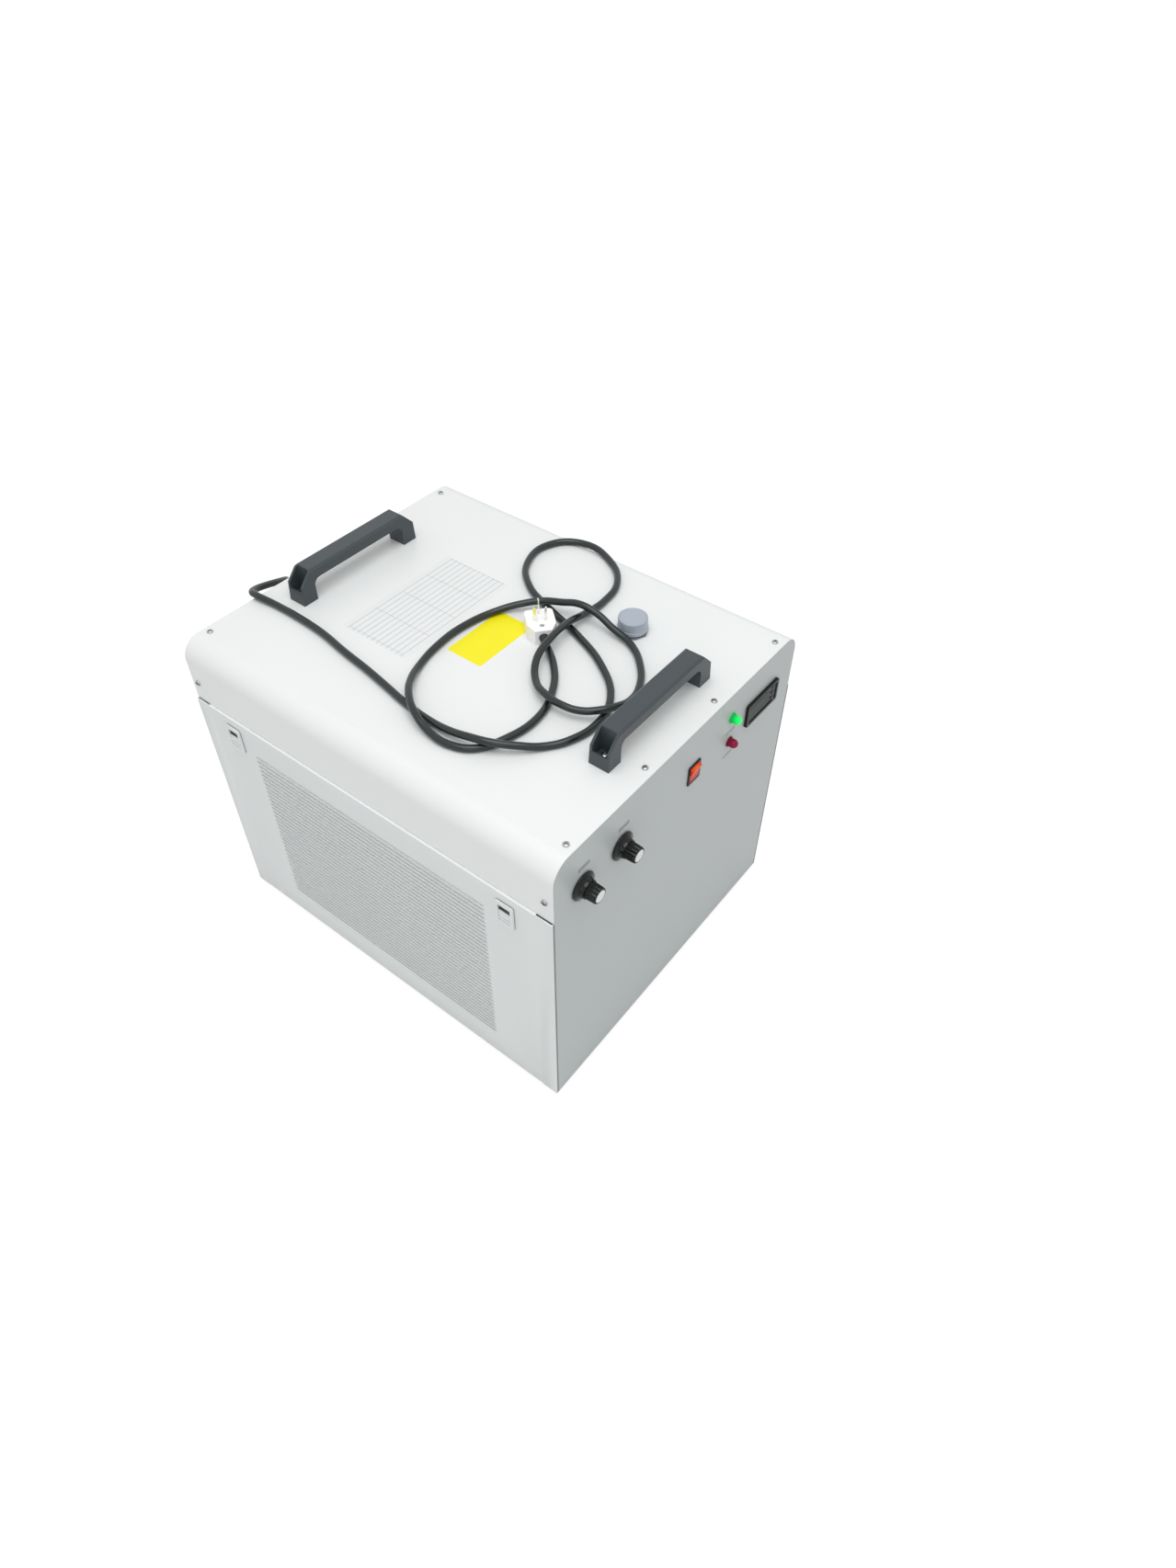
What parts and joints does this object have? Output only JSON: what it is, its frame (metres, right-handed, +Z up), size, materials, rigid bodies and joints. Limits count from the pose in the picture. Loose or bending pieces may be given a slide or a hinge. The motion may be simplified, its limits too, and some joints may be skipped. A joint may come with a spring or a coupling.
{
  "type": "water chiller",
  "caption": "Benchtop water chiller: white sheet-metal cabinet with louvred latched side panels, a control front, carry handles, a filler cap and a coiled mains lead.",
  "frame": {"origin": "centre of the footprint, on the floor under the rubber feet", "axes": "+X along the control front towards the thermostat, +Y from the control front to the back, +Z up"},
  "size_m": [0.5118, 0.7086, 0.52],
  "materials": {
    "white_cover": "smooth white powder coat",
    "side_paint": "smooth pale powder coat",
    "front_grey": "smooth grey powder coat",
    "back_paint": "smooth pale powder coat",
    "zinc_sheet": "zinc-plated sheet",
    "screw_steel": "nickel-plated",
    "rubber_black": "matt rubber",
    "foam_black": "open filter mesh",
    "latch_white": "satin moulded plastic",
    "handle_black": "matt moulded plastic",
    "neck_grey": "moulded plastic",
    "cap_grey": "satin moulded plastic",
    "tank_plastic": "natural moulded plastic",
    "copper": "bare copper pipe",
    "case_black": "glossy moulded plastic",
    "window_dark": "smoked window",
    "key_grey": "matt keys",
    "rocker_red": "translucent red plastic",
    "lamp_green": "translucent green lens",
    "lamp_red": "translucent red lens",
    "knob_black": "satin moulded plastic",
    "cap_silver": "spun aluminium",
    "control_grey": "moulded body",
    "shaft_steel": "turned steel",
    "gland_black": "nylon",
    "cord_black": "smooth black sheath",
    "plug_white": "glossy white plastic",
    "blade_brass": "bright brass",
    "fitting_brass": "cast brass",
    "fan_black": "moulded plastic",
    "guard_chrome": "plated wire",
    "fin_aluminium": "plain fins",
    "compressor_black": "black enamel",
    "pump_blue": "satin enamel",
    "hose_clear": "braided hose"
  },
  "bodies": {
    "cabinet": {"base_pan": "zinc_sheet", "rubber_feet": "rubber_black", "front_panel": "front_grey", "back_panel": "back_paint", "top_cover": "white_cover", "front_handle": "handle_black", "back_handle": "handle_black", "handle_screws": "screw_steel", "cover_screws": "screw_steel", "filler_neck": "neck_grey", "tank": "tank_plastic", "tank_lid": "tank_plastic", "cooling_coil": "copper", "thermostat_case": "case_black", "thermostat_window": "window_dark", "switch_housing": "case_black", "green_lamp": "lamp_green", "red_lamp": "lamp_red", "left_control": "control_grey", "right_control": "control_grey", "cable_gland": "gland_black", "cord": "cord_black", "plug": "plug_white", "plug_blades": "blade_brass", "water_inlet": "fitting_brass", "water_outlet": "fitting_brass", "drain_valve": "fitting_brass", "fan_frame": "fan_black", "fan_guard": "guard_chrome", "condenser": "fin_aluminium", "compressor": "compressor_black", "compressor_mounts": "rubber_black", "pump": "pump_blue", "water_hoses": "hose_clear", "copper_pipes": "copper", "control_box": "zinc_sheet"},
    "left_side": {"left_panel": "side_paint", "left_filter": "foam_black", "left_latch_bezels": "latch_white"},
    "right_side": {"right_panel": "side_paint", "right_filter": "foam_black", "right_latch_bezels": "latch_white"},
    "left_front_latch": {"left_front_slide": "latch_white"},
    "left_back_latch": {"left_back_slide": "latch_white"},
    "right_front_latch": {"right_front_slide": "latch_white"},
    "right_back_latch": {"right_back_slide": "latch_white"},
    "filler_thread": {"filler_gasket": "rubber_black"},
    "filler_lid": {"filler_cap": "cap_grey"},
    "rocker": {"switch_rocker": "rocker_red"},
    "left_dial": {"left_knob": "knob_black", "left_knob_cap": "cap_silver", "left_shaft": "shaft_steel"},
    "right_dial": {"right_knob": "knob_black", "right_knob_cap": "cap_silver", "right_shaft": "shaft_steel"},
    "set_button": {"set_key": "key_grey"},
    "up_button": {"up_key": "key_grey"},
    "down_button": {"down_key": "key_grey"},
    "fan": {"fan_rotor": "fan_black"},
    "drain_lever": {"drain_handle": "rocker_red"}
  },
  "joints": [
    {"name": "left_panel_tilt", "type": "hinge", "parent": "cabinet", "child": "left_side", "pos_m": [-0.2527, 0, 0.008], "axis": [0, -1, 0], "range_deg": [0, 30]},
    {"name": "right_panel_tilt", "type": "hinge", "parent": "cabinet", "child": "right_side", "pos_m": [0.2527, 0, 0.008], "axis": [0, 1, 0], "range_deg": [0, 30]},
    {"name": "left_front_latch_slide", "type": "slide", "parent": "left_side", "child": "left_front_latch", "axis": [0, 0, 1], "range_m": [0, 0.008]},
    {"name": "left_back_latch_slide", "type": "slide", "parent": "left_side", "child": "left_back_latch", "axis": [0, 0, 1], "range_m": [0, 0.008]},
    {"name": "right_front_latch_slide", "type": "slide", "parent": "right_side", "child": "right_front_latch", "axis": [0, 0, 1], "range_m": [0, 0.008]},
    {"name": "right_back_latch_slide", "type": "slide", "parent": "right_side", "child": "right_back_latch", "axis": [0, 0, 1], "range_m": [0, 0.008]},
    {"name": "filler_lift", "type": "slide", "parent": "cabinet", "child": "filler_thread", "axis": [0, 0, 1], "range_m": [0, 0.006]},
    {"name": "filler_turn", "type": "hinge", "parent": "filler_thread", "child": "filler_lid", "pos_m": [0.121, -0.132, 0.478], "axis": [0, 0, 1], "range_deg": [0, 720]},
    {"name": "switch_rock", "type": "hinge", "parent": "cabinet", "child": "rocker", "pos_m": [0.018, -0.298, 0.404], "axis": [-1, 0, 0], "range_deg": [0, 20]},
    {"name": "left_dial_turn", "type": "hinge", "parent": "cabinet", "child": "left_dial", "pos_m": [-0.2, -0.31, 0.403], "axis": [0, 1, 0], "range_deg": [-150, 150]},
    {"name": "right_dial_turn", "type": "hinge", "parent": "cabinet", "child": "right_dial", "pos_m": [-0.128, -0.31, 0.403], "axis": [0, 1, 0], "range_deg": [-150, 150]},
    {"name": "set_key_press", "type": "slide", "parent": "cabinet", "child": "set_button", "axis": [0, 1, 0], "range_m": [0, 0.0008], "stiffness_N_per_m": 200, "springref_m": -0.001},
    {"name": "up_key_press", "type": "slide", "parent": "cabinet", "child": "up_button", "axis": [0, 1, 0], "range_m": [0, 0.0008], "stiffness_N_per_m": 200, "springref_m": -0.001},
    {"name": "down_key_press", "type": "slide", "parent": "cabinet", "child": "down_button", "axis": [0, 1, 0], "range_m": [0, 0.0008], "stiffness_N_per_m": 200, "springref_m": -0.001},
    {"name": "fan_spin", "type": "hinge", "parent": "cabinet", "child": "fan", "pos_m": [-0.075, 0.27, 0.188], "axis": [0, 1, 0], "continuous": true},
    {"name": "drain_turn", "type": "hinge", "parent": "cabinet", "child": "drain_lever", "pos_m": [0.21, 0.3125, 0.0498], "axis": [0, 0, 1], "range_deg": [0, 90]}
  ],
  "couplings": [
    {"joint": "filler_lift", "follows": "filler_turn", "m_per_rad": 0.00047746}
  ]
}
